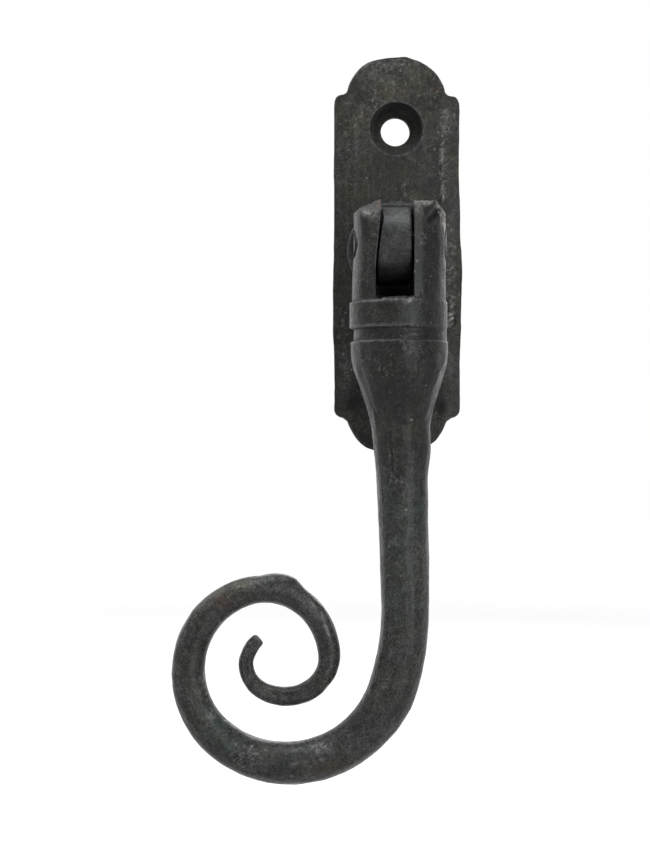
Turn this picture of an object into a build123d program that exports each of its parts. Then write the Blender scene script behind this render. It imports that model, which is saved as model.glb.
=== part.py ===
from build123d import *
import math
import os

# A hinged window handle on its backplate, seen from the room. Sizes are in millimetres.
# The origin is on the spindle's axis, in the back face of the plate. +X is to the right, +Z is up,
# and the room is towards -Y. A "reach" is a distance out from the back face, so it lies at Y = -reach.

# Backplate
plate_thickness = 4.0
plate_half_width = 11.0
plate_top = 34.0
plate_bottom = -35.35
arch_rise = 6.7
arch_half_width = 8.6
neck_radius = 1.0
shoulder_radius = 1.2
plate_flat_half_width = 7.8
plate_edge_drop = 0.6
plate_edge_rounding = 0.4
fixing_centres = 43.0
fixing_hole = 5.3
countersink = 9.2

# Swivel: the boss in front of the plate, the tongue in the slot and the journal in the plate
face_clearance = 0.1
boss_radius = 8.75
boss_thickness = 2.65
boss_rounding = 0.6
journal_radius = 6.0
journal_clearance = 0.06
journal_recess = 0.2
tongue_x = -1.0
tongue_thickness = 5.8
tongue_radius = 6.4
tongue_rounding = 0.35
socket_floor = 0.5

# Parts hidden in the back of the plate
circlip_thickness = 1.0
circlip_width = 1.7
circlip_gap = 50.0
circlip_lug_radius = 1.5
circlip_eye_radius = 0.6
groove_depth = 0.25
groove_play = 0.05
groove_land = 0.4
recess_play = 0.45
washer_rim_play = 0.8
washer_bore_play = 0.4
washer_sheet = 0.3
washer_bow = 0.35

# Spindle and the pin through it
spindle_side = 7.0
spindle_chamfer = 0.6
spindle_behind_plate = 30.0
socket_clearance = 0.05
spindle_pin_radius = 0.75
spindle_pin_recess = 0.2
spindle_pin_cover = 0.1

# Hinge of the handle
swing_clearance = 0.3
pin_radius = 2.5
pin_proud = 0.15
pin_clearance = 0.05
slot_clearance = 0.25

# Head of the handle: two arms worn lower at their outer corners, and the band and groove below
head_x = -0.1
arm_radius = 7.95
left_arm_wear = 0.85
left_corner_from_slot = 0.15
left_corner_slope = 25.0
right_arm_wear = 0.75
right_corner_from_slot = 3.6
right_corner_slope = 49.0
brow_radius = 4.2
slot_below_boss = 0.65
band_below_slot = 0.2
band_height = 4.9
band_radius = 8.25
groove_height = 2.0
groove_radius = 7.7
edge_ease = 0.25

# Vase, measured down from the groove along the leaning stem
stem_lean = 1.4
vase_radius = 8.2
vase_shoulder = 3.2
vase_shoulder_rounding = 10.0
vase_waist = 12.4
vase_waist_radius = 5.2
vase_waist_rounding = 22.0
vase_length = 22.5
vase_end_radius = 4.4

# Tail: each run of the scroll is a turn in degrees and the radius of the bar's centreline
straight_length = 21.3
scroll_runs = [
    (20, 42.0),
    (50, 19.0),
    (60, 18.0),
    (60, 15.0),
    (60, 14.0),
    (60, 10.5),
    (50, 12.0),
    (50, 6.5),
    (70, 7.8),
    (60, 5.5),
    (20, 3.0),
    (30, 7.8),
]
tail_start_radius = 4.1
tail_tip_radius = 1.1
tail_taper_power = 1.25
tail_tip_rounding = 0.5
section_turn = 12.0

# Sizes that follow from the ones above
boss_back = plate_thickness + face_clearance
boss_front = boss_back + boss_thickness
bore_radius = journal_radius + journal_clearance
groove_floor_radius = journal_radius - groove_depth
groove_back = journal_recess + groove_land
groove_width = circlip_thickness + 2 * groove_play
recess_radius = groove_floor_radius + 2 * circlip_lug_radius + recess_play
washer_back = groove_back + groove_width + face_clearance
washer_front = washer_back + washer_bow + washer_sheet
recess_depth = washer_front + face_clearance
socket_end = boss_front - socket_floor
spindle_pin_reach = boss_back + spindle_pin_cover + spindle_pin_radius
pin_reach = boss_front + swing_clearance + arm_radius
slot_left = tongue_x - tongue_thickness / 2 - slot_clearance
slot_right = tongue_x + tongue_thickness / 2 + slot_clearance
slot_bottom = -(boss_radius + slot_below_boss)
band_top = slot_bottom - band_below_slot
band_bottom = band_top - band_height
groove_bottom = band_bottom - groove_height
past = 1.0


def across(radius, near, far, x=0.0, z=0.0):
    """A round bar along the spindle's direction, between two reaches."""
    return Pos(x, -(near + far) / 2, z) * Rot(90, 0, 0) * Cylinder(radius, far - near)


def sideways(radius, left, right, reach):
    """A round bar along X at the height of the hinge pin."""
    return Pos((left + right) / 2, -reach, 0) * Rot(0, 90, 0) * Cylinder(radius, right - left)


def block(left, right, near, far, bottom, top):
    """A box between two places in X, two reaches and two heights."""
    middle = Pos((left + right) / 2, -(near + far) / 2, (bottom + top) / 2)
    return middle * Box(right - left, far - near, top - bottom)


def front_prism(points, near, far):
    """A polygon of X and Z, carried from one reach to another."""
    face = Plane.XZ * make_face(Polyline(*points, close=True))
    return Pos(0, -near, 0) * extrude(face, far - near)


def turned(profile):
    """A solid turned about the Z axis from a closed line of radius and height."""
    return revolve(Plane.XZ * make_face(profile), Axis.Z)


def countersunk_hole(z):
    depth = (countersink - fixing_hole) / 2
    cone = Cone(fixing_hole / 2, countersink / 2, depth)
    cone = Pos(0, -(plate_thickness - depth / 2), z) * Rot(90, 0, 0) * cone
    return across(fixing_hole / 2, -past, plate_thickness, z=z) + cone


def plate_outline():
    shoulder_top = plate_top - arch_rise
    shoulder_bottom = plate_bottom + arch_rise
    middle = (shoulder_top + shoulder_bottom) / 2
    outline = Pos(0, middle) * Rectangle(2 * plate_half_width, shoulder_top - shoulder_bottom)
    for level in (shoulder_top, shoulder_bottom):
        outline += Pos(0, level) * Ellipse(arch_half_width, arch_rise)
    return outline


def round_plate_corners(plate):
    ledge = plate_half_width - arch_half_width
    uprights = plate.edges().filter_by(Axis.Y)
    shoulders = uprights.filter_by(lambda e: abs(e.center().X) > arch_half_width + ledge / 2)
    plate = fillet(shoulders, min(shoulder_radius, 0.53 * ledge))
    uprights = plate.edges().filter_by(Axis.Y)
    necks = uprights.filter_by(lambda e: abs(abs(e.center().X) - arch_half_width) < 0.01)
    return fillet(necks, min(neck_radius, 0.44 * ledge))


def long_edge_bevels():
    """What is hammered off the front of the plate along its two long edges."""
    outside = plate_half_width + past
    slope = plate_edge_drop / (plate_half_width - plate_flat_half_width)
    drop_outside = slope * (outside - plate_flat_half_width)
    points = [
        (plate_flat_half_width, -plate_thickness),
        (outside, -plate_thickness + drop_outside),
        (outside, -plate_thickness - past),
        (plate_flat_half_width, -plate_thickness - past),
    ]
    right = extrude(make_face(Polyline(*points, close=True)), plate_top - plate_bottom)
    right = Pos(0, 0, plate_bottom) * right
    return right + mirror(right, Plane.YZ)


def backplate():
    plate = extrude(Plane.XZ * plate_outline(), plate_thickness)
    plate = round_plate_corners(plate)
    plate = fillet(plate.faces().sort_by(Axis.Y)[0].edges(), plate_edge_rounding)
    plate -= long_edge_bevels()
    plate -= across(bore_radius, -past, plate_thickness + past)
    plate -= across(recess_radius, -past, recess_depth)
    for side in (1, -1):
        plate -= countersunk_hole(side * fixing_centres / 2)
    return plate


def tongue():
    left = tongue_x - tongue_thickness / 2
    right = tongue_x + tongue_thickness / 2
    upright = block(left, right, boss_front - past, pin_reach, -tongue_radius, tongue_radius)
    shape = upright + sideways(tongue_radius, left, right, pin_reach)
    sides = shape.faces().filter_by(Axis.X)
    rims = sides.edges().filter_by(lambda e: e.center().Y < -boss_front)
    return fillet(rims, tongue_rounding)


def circlip_groove():
    outer = across(journal_radius + past, groove_back, groove_back + groove_width)
    return outer - across(groove_floor_radius, groove_back, groove_back + groove_width)


def swivel():
    boss = across(boss_radius, boss_back, boss_front)
    boss = fillet(boss.edges().sort_by(Axis.Y)[0], boss_rounding)
    shape = boss + across(journal_radius, journal_recess, boss_back) + tongue()
    socket_half = spindle_side / 2 + socket_clearance
    shape -= block(-socket_half, socket_half, 0, socket_end, -socket_half, socket_half)
    shape -= circlip_groove()
    shape -= sideways(pin_radius + pin_clearance, -boss_radius, boss_radius, pin_reach)
    shape -= Pos(0, -spindle_pin_reach, 0) * Cylinder(spindle_pin_radius, 3 * boss_radius)
    return shape


def spindle():
    length = spindle_behind_plate + socket_end
    bar = Box(spindle_side, length, spindle_side)
    bar = chamfer(bar.faces().sort_by(Axis.Y)[-1].edges(), spindle_chamfer)
    bar = Pos(0, length / 2 - socket_end, 0) * bar
    return bar - Pos(0, -spindle_pin_reach, 0) * Cylinder(spindle_pin_radius, 2 * spindle_side)


def spindle_pin():
    length = 2 * (boss_radius - spindle_pin_recess)
    return Pos(0, -spindle_pin_reach, 0) * Cylinder(spindle_pin_radius, length)


def circlip():
    near = groove_back + groove_play
    far = near + circlip_thickness
    outer_radius = groove_floor_radius + circlip_width
    mouth_reach = 3 * outer_radius
    half_gap = math.radians(circlip_gap / 2)
    mouth_x = mouth_reach * math.sin(half_gap)
    mouth_z = -mouth_reach * math.cos(half_gap)
    mouth = front_prism([(0, 0), (-mouth_x, mouth_z), (mouth_x, mouth_z)], near, far)
    ring = across(outer_radius, near, far) - mouth
    lug_circle = groove_floor_radius + circlip_lug_radius
    lug_angle = half_gap + circlip_lug_radius / lug_circle
    for side in (1, -1):
        x = side * lug_circle * math.sin(lug_angle)
        z = -lug_circle * math.cos(lug_angle)
        ring += across(circlip_lug_radius, near, far, x, z)
        ring -= across(circlip_eye_radius, near, far, x, z)
    return ring - across(groove_floor_radius, near, far)


def spring_washer():
    """A flat ring bent to a gentle arch, with its two sides back against the circlip."""
    half = recess_radius - washer_rim_play
    bend_radius = (half**2 + washer_bow**2) / (2 * washer_bow)
    centre = washer_front - washer_sheet - bend_radius
    outer = sideways(bend_radius + washer_sheet, -half, half, centre)
    inner = sideways(bend_radius, -half, half, centre)
    ring = across(half, washer_back, washer_front)
    ring -= across(journal_radius + washer_bore_play, washer_back, washer_front)
    return ring & (outer - inner)


def head_bar():
    profile = Polyline(
        (0, arm_radius + past),
        (arm_radius, arm_radius + past),
        (arm_radius, band_top),
        (band_radius, band_top - edge_ease),
        (band_radius, band_bottom + edge_ease),
        (groove_radius, band_bottom - edge_ease),
        (groove_radius, groove_bottom - edge_ease),
        (0, groove_bottom - edge_ease),
        close=True,
    )
    return Pos(head_x, -pin_reach, 0) * turned(profile)


def arm_ends_from_side():
    """Behind the pin the arms are round, so that they clear the boss as they swing."""
    side = arm_radius + past
    back = sideways(arm_radius, -side, side, pin_reach)
    front = block(-side, side, pin_reach, pin_reach + side, 0, arm_radius)
    brow = front.edges().filter_by(Axis.X).filter_by(lambda e: e.center().Z > 0).sort_by(Axis.Y)[0]
    return back + fillet(brow, brow_radius)


def arm_ends_from_front():
    """The hammered tops of the two arms, with their outer corners knocked off."""
    side = 2 * arm_radius
    left_top = arm_radius - left_arm_wear
    left_corner = slot_left - left_corner_from_slot
    left_fall = math.tan(math.radians(left_corner_slope)) * (left_corner + side)
    right_top = arm_radius - right_arm_wear
    right_corner = slot_right + right_corner_from_slot
    right_fall = math.tan(math.radians(right_corner_slope)) * (side - right_corner)
    points = [
        (-side, -side),
        (-side, left_top - left_fall),
        (left_corner, left_top),
        (tongue_x, left_top),
        (tongue_x, right_top),
        (right_corner, right_top),
        (side, right_top - right_fall),
        (side, -side),
    ]
    return front_prism(points, 0, pin_reach + side)


def vase():
    """The swelling below the groove, with a short core that reaches up into the head."""
    core_radius = groove_radius - edge_ease
    profile = Polyline(
        (0, -vase_length),
        (0, past),
        (core_radius, past),
        (core_radius, 0),
        (vase_radius - edge_ease, 0),
        (vase_radius, -edge_ease),
    )
    profile += FilletPolyline(
        (vase_radius, -edge_ease),
        (vase_radius, -vase_shoulder),
        (vase_waist_radius, -vase_waist),
        (vase_end_radius, -vase_length),
        radius=(vase_shoulder_rounding, vase_waist_rounding),
    )
    profile += Line((vase_end_radius, -vase_length), (0, -vase_length))
    return Pos(head_x, -pin_reach, groove_bottom) * Rot(0, -stem_lean, 0) * turned(profile)


def along(x, z, heading, distance):
    """The place a distance further on, in the X and Z of the front view."""
    angle = math.radians(heading)
    return x + distance * math.cos(angle), z + distance * math.sin(angle)


def section(x, z, heading, radius):
    """A round section of the bar, square to its heading."""
    dx, dz = along(0, 0, heading, 1)
    return Plane(origin=(x, -pin_reach, z), x_dir=(0, 1, 0), z_dir=(dx, 0, dz)) * Circle(radius)


def rounded_tip(last_run):
    tip = last_run.faces().sort_by(lambda f: f.area)[0]
    return fillet(tip.edges(), min(tail_tip_rounding, 0.6 * tail_tip_radius))


def tail():
    """The straight of the stem and then the scroll, whose runs follow each other smoothly."""
    heading = -90 + stem_lean
    x, z = along(head_x, groove_bottom, heading, vase_length)
    stem_top = section(x, z, heading, vase_end_radius)
    x, z = along(x, z, heading, straight_length)
    pieces = [loft([stem_top, section(x, z, heading, tail_start_radius)])]
    scroll_length = sum(math.radians(turn) * radius for turn, radius in scroll_runs)
    travelled = 0.0
    for turn, radius in scroll_runs:
        centre_x, centre_z = along(x, z, heading - 90, radius)
        run_length = math.radians(turn) * radius
        steps = math.ceil(turn / section_turn) + 1
        sections = []
        for step in range(steps + 1):
            share = step / steps
            new_heading = heading - turn * share
            x, z = along(centre_x, centre_z, new_heading + 90, radius)
            taper = ((travelled + run_length * share) / scroll_length) ** tail_taper_power
            bar_radius = tail_start_radius + (tail_tip_radius - tail_start_radius) * taper
            sections.append(section(x, z, new_heading, bar_radius))
        pieces.append(loft(sections))
        heading -= turn
        travelled += run_length
    pieces[-1] = rounded_tip(pieces[-1])
    return Part() + pieces


def monkey_tail_handle():
    side = arm_radius + past
    above_pin = block(-side - past, side + past, 0, pin_reach + side + past, 0, side + past)
    ends = arm_ends_from_side() & arm_ends_from_front()
    shape = head_bar() - (above_pin - ends)
    shape -= block(slot_left, slot_right, 0, pin_reach + side, slot_bottom, side)
    shape -= sideways(pin_radius, -side, side, pin_reach)
    return shape + vase() + tail()


def hinge_pin():
    side = arm_radius + past
    pin = sideways(pin_radius, -side, side, pin_reach)
    return pin & Pos(head_x, -pin_reach, 0) * Cylinder(arm_radius + pin_proud, 4 * pin_radius)


parts = {
    "backplate": backplate,
    "swivel": swivel,
    "spring_washer": spring_washer,
    "circlip": circlip,
    "spindle": spindle,
    "spindle_pin": spindle_pin,
    "hinge_pin": hinge_pin,
    "monkey_tail_handle": monkey_tail_handle,
}

os.makedirs("parts", exist_ok=True)
for name, make in parts.items():
    export_step(make(), f"parts/{name}.step")
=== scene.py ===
import math

import bmesh
import bpy
import numpy as np
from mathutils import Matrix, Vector
from mathutils.kdtree import KDTree


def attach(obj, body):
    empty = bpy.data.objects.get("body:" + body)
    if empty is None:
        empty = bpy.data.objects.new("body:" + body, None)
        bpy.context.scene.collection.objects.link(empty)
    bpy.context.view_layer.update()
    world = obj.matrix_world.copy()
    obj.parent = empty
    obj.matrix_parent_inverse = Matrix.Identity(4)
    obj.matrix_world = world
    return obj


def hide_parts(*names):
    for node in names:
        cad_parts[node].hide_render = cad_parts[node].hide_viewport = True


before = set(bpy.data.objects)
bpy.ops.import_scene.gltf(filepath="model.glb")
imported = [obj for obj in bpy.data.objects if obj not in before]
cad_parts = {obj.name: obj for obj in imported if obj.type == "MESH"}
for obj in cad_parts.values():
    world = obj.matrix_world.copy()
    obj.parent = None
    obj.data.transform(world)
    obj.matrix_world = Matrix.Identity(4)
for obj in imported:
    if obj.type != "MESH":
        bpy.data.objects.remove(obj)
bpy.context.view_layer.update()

# A forged window handle. The meshes are worked in millimetres of the row frame: X to the right,
# Y into the wall, Z up. Each forged piece is its CAD solid, remeshed evenly and then hammered,
# dented and worn in code, and is written back in metres. A row of numbers for a place on the
# front starts with its X and Z. A pair of heights or radii is where a change starts and ends.

# Head of the handle: places, heights, and radii about its upright axis
pin_reach = 15.0
head_x = -0.1
head_half_width = 8.0
head_top = 8.0
head_core_radius = 7.3
arm_radius = 7.95
band_radius = 8.3
groove_radius = 7.62
vase_radius = 8.2
cut_top = (-4.0, -5.5)
band_edge = (-9.62, -9.80)
groove_edge = (-14.06, -14.22)
vase_edge = (-16.28, -16.42)
cut_bottom = (-17.3, -16.8)
groove_bottom = -16.5
quiet_top = -9.0
quiet_bottom = -17.1
arm_foot = -9.2
arm_blend = (-5.5, -9.3)
arm_front = 16
arm_face = 17

# Slot between the arms, and the tongue in it
slot_left = -4.15
slot_right = 2.15
slot_bottom = -9.4
slot_middle = -1.0
tongue_left = -3.9
slot_lean = 0.8
lean_start = -28
lean_turn = 67
arm_clearance = 0.12

# Stem and scroll, each run of the scroll as a turn in degrees and a radius
stem_lean = 1.4
vase_length = 22.5
straight_length = 21.3
scroll_runs = (
    (20, 42), (50, 19), (60, 18), (60, 15), (60, 14), (60, 10.5), (50, 12), (50, 6.5), (70, 7.8),
    (60, 5.5), (20, 3), (30, 7.8),
)
axis_step = 0.25
scroll_top = -55

# Backplate, its holes, and the swivel
plate_front = -2.5
plate_back = -0.3
plate_flat_end = 8.5
plate_side = 10.5
boss_off = 9.6
hole_height = 21.5
hole_off_limit = 4.75
hole_right = -0.12
hole_up = 0.02
bore_up = -0.19
sink_edge = (5.2, 4.7)
bore_edge = (4.2, 3.0)
sink_growth = 0.02
bore_shrinkage = 0.055
rim_radius = 4.78
rim_width = 0.16
sunk_radius = 4.6
swivel_front = -4.1
boss_front = 6.75

# Grain of the even meshes
handle_voxel = 0.272
plate_voxel = 0.2
swivel_voxel = 0.2
pin_voxel = 0.12

# Hammer blows: how many, the range of their scale and depth, and their length and width
handle_blows = 640
handle_blow_scale = (0.6, 1.15)
handle_blow_depth = (0.02, 0.085)
handle_blow_size = (4.6, 2.6)
plate_blows = 170
plate_blow_scale = (0.6, 1.3)
plate_blow_depth = (0.02, 0.06)
plate_blow_size = (3.2, 2.0)
plate_blow_turn = 0.5

# Specks: the ranges of their half width, of how long they are for that, and of their strength
speck_size = (0.08, 0.16)
speck_stretch = (0.8, 1.8)
speck_share = (0.4, 1.0)

rng = np.random.default_rng(7)
speck_rng = np.random.default_rng(19)


def lattice_value(x, y, z, seed):
    """A repeatable number from 0 to 1 for each corner of a lattice, mixed by large factors."""
    h = (x * 374761393 + y * 668265263 + z * 1442695041 + seed * 1274126177) & 0xFFFFFFFF
    h = ((h ^ (h >> 13)) * 1274126177) & 0xFFFFFFFF
    return ((h ^ (h >> 16)) & 0xFFFF) / 65535.0


def noise(points, size, seed):
    """Smooth noise from -1 to 1 whose lumps are about one size across."""
    q = points / size
    cell = np.floor(q).astype(np.int64)
    f = q - cell
    f = f * f * f * (f * (f * 6 - 15) + 10)
    total = np.zeros(len(points))
    for dx in (0, 1):
        for dy in (0, 1):
            for dz in (0, 1):
                share = np.where(dx, f[:, 0], 1 - f[:, 0])
                share = share * np.where(dy, f[:, 1], 1 - f[:, 1])
                share = share * np.where(dz, f[:, 2], 1 - f[:, 2])
                x, y, z = (cell + (dx, dy, dz)).T
                total += share * lattice_value(x, y, z, seed)
    return 2 * total - 1


def layered(points, size, seed):
    """Three layers of noise, each half as large and half as strong as the one before."""
    total = np.zeros(len(points))
    for layer in range(3):
        total += noise(points, size / 2**layer, seed + layer) / 2**layer
    return total / 1.75


def near(points, centre, radius):
    """1 at a centre and 0 from about two radii on, smoothly."""
    offset = (points - np.array(centre)) / np.array(radius)
    return np.exp(-(offset**2).sum(axis=1))


def near_line(points, start, end, radius):
    """1 on a straight line from start to end and 0 well away from it."""
    a = np.array(start, float)
    b = np.array(end, float)
    share = np.clip(((points - a) @ (b - a)) / ((b - a) @ (b - a)), 0, 1)
    foot = a + share[:, None] * (b - a)
    offset = (points - foot) / radius
    return np.exp(-(offset**2).sum(axis=1))


def above(values, limit, soft):
    """1 above a limit and 0 below it, with a soft change."""
    return 1 / (1 + np.exp(-np.clip((values - limit) / soft, -60, 60)))


def between(values, low, high, soft):
    """1 between two limits and 0 outside them, with soft ends."""
    return above(values, low, soft) * above(-values, -high, soft)


def ramp(values, start, end):
    """0 at the start and 1 at the end, smoothly, and level outside them."""
    share = np.clip((values - start) / (end - start), 0, 1)
    return share * share * (3 - 2 * share)


def unit(x, y, z):
    """A direction, one long."""
    direction = np.array([x, y, z], float)
    return direction / np.linalg.norm(direction)


def add_object(name, data):
    thing = bpy.data.objects.new(name, data)
    bpy.context.scene.collection.objects.link(thing)
    return thing


def even_copy(node, name, voxel, smoothing):
    """A CAD solid's mesh, welded and remeshed evenly."""
    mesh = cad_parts[node].data.copy()
    mesh.materials.clear()
    welded = bmesh.new()
    welded.from_mesh(mesh)
    bmesh.ops.remove_doubles(welded, verts=welded.verts, dist=2e-6)
    welded.to_mesh(mesh)
    welded.free()
    blank = add_object(name + "_blank", mesh)
    remesh = blank.modifiers.new("remesh", "REMESH")
    remesh.mode = "VOXEL"
    remesh.voxel_size = voxel / 1000
    smooth = blank.modifiers.new("smooth", "SMOOTH")
    smooth.factor = 0.5
    smooth.iterations = smoothing
    graph = bpy.context.evaluated_depsgraph_get()
    even = bpy.data.meshes.new_from_object(blank.evaluated_get(graph))
    bpy.data.objects.remove(blank)
    even.name = name
    return even


def mesh_rows(source, name):
    """A mesh's places or normals, one to a row."""
    flat = np.empty(len(source) * 3, np.float32)
    source.foreach_get(name, flat)
    return flat.reshape(-1, 3).astype(float)


class Work:
    """A piece being worked: its mesh as arrays in millimetres, and its marks for the material."""

    def __init__(self, node, name, voxel, smoothing, front_limit=0.0):
        self.node = node
        self.mesh = even_copy(node, name, voxel, smoothing)
        self.piece = add_object(name, self.mesh)
        self.front_limit = front_limit
        self.marks = {}
        self.points = mesh_rows(self.mesh.vertices, "co") * 1000
        self.normals = mesh_rows(self.mesh.vertex_normals, "vector")
        ends = np.empty(len(self.mesh.edges) * 2, np.int32)
        self.mesh.edges.foreach_get("vertices", ends)
        self.edges = ends.reshape(-1, 2)
        self.edge_counts = np.bincount(ends, minlength=len(self.points)).clip(1)

    def write(self):
        """Puts the points into the mesh and reads its normals again."""
        flat = (self.points / 1000).astype(np.float32).ravel()
        self.mesh.vertices.foreach_set("co", flat)
        self.mesh.update()
        self.normals = mesh_rows(self.mesh.vertex_normals, "vector")

    def front_view(self):
        """The X and Z of each point."""
        return self.points[:, [0, 2]]

    def on_front(self, share):
        """The same share on the front of the piece, and 0 behind it."""
        return share * (self.points[:, 1] < self.front_limit)

    def neighbour_means(self, values):
        """The mean of a value over the vertices that edges join to each vertex."""
        first, second = self.edges.T
        total = np.bincount(first, values[second], len(values))
        total += np.bincount(second, values[first], len(values))
        return total / self.edge_counts

    def push(self, amount):
        """Moves each vertex out along its normal, in millimetres."""
        self.points += self.normals * amount[:, None]

    def blow(self, centre, normal, along, depth, length, width):
        """One hammer blow: what stands above a shallow dish at this place is pressed down to it."""
        close = np.abs(self.points - centre).max(axis=1) < max(length, width)
        chosen = np.nonzero(close)[0]
        offset = self.points[chosen] - centre
        side = np.cross(normal, along)
        height = offset @ normal
        a = (offset @ along) / length
        b = (offset @ side) / width
        dish = depth * (1 - a * a - b * b)
        press = np.minimum(height + dish, 1.6 * dish)
        over = (press > 0) & (self.normals[chosen] @ normal > 0.2)
        self.points[chosen[over]] -= normal * press[over][:, None]

    def flat(self, centre, facing, share):
        """A plane that cuts off what stands beyond it, where the share is 1."""
        normal = unit(*facing)
        height = (self.points - np.array(centre)) @ normal
        self.points -= normal * (np.clip(height, 0, 1.5) * share)[:, None]

    def dent(self, centre, radius, depth):
        """Presses the front in round a place in X and Z. A negative depth raises it."""
        self.push(-depth * self.on_front(near(self.front_view(), centre, radius)))

    def line(self, start, end, radius, depth):
        """The same along a line in X and Z."""
        self.push(-depth * self.on_front(near_line(self.front_view(), start, end, radius)))

    def soften(self, share, rounds):
        """Evens the surface out where the share is 1."""
        for _ in range(rounds):
            for axis in range(3):
                values = self.points[:, axis]
                change = self.neighbour_means(values) - values
                self.points[:, axis] = values + 0.6 * share * change

    def nudge(self, places):
        """Moves what lies round places: X, Z, half width, half height and the move in X and Z."""
        view = self.front_view()
        for x, z, wide, tall, right, up in places:
            share = near(view, (x, z), (wide, tall))
            self.points[:, 0] += right * share
            self.points[:, 2] += up * share

    def swell(self, places):
        """Pushes out along the normals round places in X and Z, on the side that faces a way."""
        view = self.front_view()
        for x, z, wide, tall, right, up, amount in places:
            facing = np.clip(self.normals[:, 0] * right + self.normals[:, 2] * up, 0, 1)
            self.push(amount * (near(view, (x, z), (wide, tall)) * facing))

    def lay(self, name, share):
        """Marks the piece by a share, where it isn't marked more strongly already."""
        marked = self.marks.get(name, np.zeros(len(self.points)))
        self.marks[name] = np.maximum(marked, share)

    def mark(self, name, places):
        """Marks the front round places given as X, Z, half width, half height and strength."""
        view = self.front_view()
        for x, z, wide, tall, strength in places:
            self.lay(name, self.on_front(strength * near(view, (x, z), (wide, tall))))

    def mark_line(self, name, start, end, radius, strength):
        """The same along a line in X and Z."""
        self.lay(name, self.on_front(strength * near_line(self.front_view(), start, end, radius)))

    def sprinkle(self, lines):
        """Scatters bare specks, in places painted glints, about lines: how many, both ends, how far
        off them, and strength.
        """
        for count, start, end, spread_out, strength in lines:
            a = np.array(start)
            b = np.array(end)
            places = []
            for _ in range(count):
                x, z = a + (b - a) * speck_rng.random() + speck_rng.normal(0, spread_out, 2)
                size = speck_rng.uniform(*speck_size)
                tall = size * speck_rng.uniform(*speck_stretch)
                places.append((x, z, size, tall, strength * speck_rng.uniform(*speck_share)))
            self.mark("bare_and_highlight", places)

    def edge_marks(self, reach, sharpness):
        """Wear on what stands out, and painted shade in what is sunk, from how the surface curves.
        """
        smoothed = self.points.copy()
        for _ in range(reach):
            for axis in range(3):
                values = smoothed[:, axis]
                smoothed[:, axis] = 0.5 * values + 0.5 * self.neighbour_means(values)
        lift = ((self.points - smoothed) * self.normals).sum(axis=1)
        wear = np.clip(lift * sharpness - 0.35, 0, 1)
        painted_shade = np.clip(-lift * sharpness - 0.25, 0, 1)
        return wear, painted_shade

    def finish(self, grain, body, material):
        """Hands the marks to the material, with the three ways that its drawn streaks follow."""
        self.write()
        bar = self.mesh.attributes.new("bar", "FLOAT_VECTOR", "POINT")
        ways = np.stack(grain, axis=1) / 1000
        bar.data.foreach_set("vector", ways.astype(np.float32).ravel())
        for name in ("tone_and_painted_light", "green", "ochre", "pale_and_highlight", "rust", "dust_and_highlight", "wear", "painted_shade", "bare_and_highlight"):
            values = self.marks.get(name, np.zeros(len(self.points)))
            layer = self.mesh.attributes.new(name, "FLOAT", "POINT")
            layer.data.foreach_set("value", values.astype(np.float32))
        self.mesh.shade_smooth()
        self.mesh.materials.append(material)
        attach(self.piece, body)
        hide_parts(self.node)


def slot_limit(points):
    """How far right the left arm may reach: it leans in from low on its front to its top."""
    from_pin = np.hypot(points[:, 1] + pin_reach, points[:, 2])
    turn = np.degrees(np.arctan2(points[:, 2], -(points[:, 1] + pin_reach)))
    lean = np.clip((turn - lean_start) / lean_turn, 0, 1) * between(turn, -90, 170, 4)
    return tongue_left + slot_lean * lean * ramp(from_pin, 3.6, 5.0)


def bar_axis():
    """Samples along the axis of the head, stem and scroll: places, directions and lengths."""
    places = []
    directions = []

    def straight(x, z, heading, length):
        dx = math.cos(math.radians(heading))
        dz = math.sin(math.radians(heading))
        count = round(length / axis_step)
        for i in range(count):
            places.append((x + dx * length * i / count, z + dz * length * i / count))
            directions.append((dx, dz))
        return x + dx * length, z + dz * length

    x, z = straight(head_x, head_top, -90, head_top - groove_bottom)
    heading = -90 + stem_lean
    x, z = straight(x, z, heading, vase_length + straight_length)
    for turn, radius in scroll_runs:
        side = math.radians(heading - 90)
        centre_x = x + radius * math.cos(side)
        centre_z = z + radius * math.sin(side)
        count = max(2, round(math.radians(turn) * radius / axis_step))
        for i in range(1, count + 1):
            now = heading - turn * i / count
            x = centre_x + radius * math.cos(math.radians(now + 90))
            z = centre_z + radius * math.sin(math.radians(now + 90))
            places.append((x, z))
            directions.append((math.cos(math.radians(now)), math.sin(math.radians(now))))
        heading -= turn
    places = np.array(places)
    gaps = np.linalg.norm(np.diff(places, axis=0), axis=1)
    return places, np.array(directions), np.concatenate([[0], np.cumsum(gaps)])


def bar_frame(points):
    """For each point: its way along the bar, its angle and distance round it, the bar's heading."""
    places, directions, lengths = bar_axis()
    tree = KDTree(len(places))
    for i, (x, z) in enumerate(places):
        tree.insert((x, 0, z), i)
    tree.balance()
    index = np.array([tree.find((x, 0, z))[1] for x, _, z in points])
    off = points[:, [0, 2]] - places[index]
    heading = directions[index]
    side = off[:, 0] * -heading[:, 1] + off[:, 1] * heading[:, 0]
    front = -(points[:, 1] + pin_reach)
    tangent = np.stack([heading[:, 0], np.zeros(len(points)), heading[:, 1]], axis=1)
    return lengths[index], np.arctan2(side, front), np.hypot(side, front), tangent


# Materials

green_stain = (0.024, 0.040, 0.034)
# Pale stain, and in places painted highlight
pale_and_highlight_colour = (0.12, 0.12, 0.112)
ochre_stain = (0.062, 0.060, 0.034)
rust_stain = (0.078, 0.045, 0.029)
# Pale dust, and in places painted highlight
dust_and_highlight_colour = (0.19, 0.19, 0.175)
pit_colour = (0.006, 0.006, 0.006)
worn_colour = (0.10, 0.102, 0.10)
# Near black, for painted shade
painted_shade_colour = (0.003, 0.003, 0.003)
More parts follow.
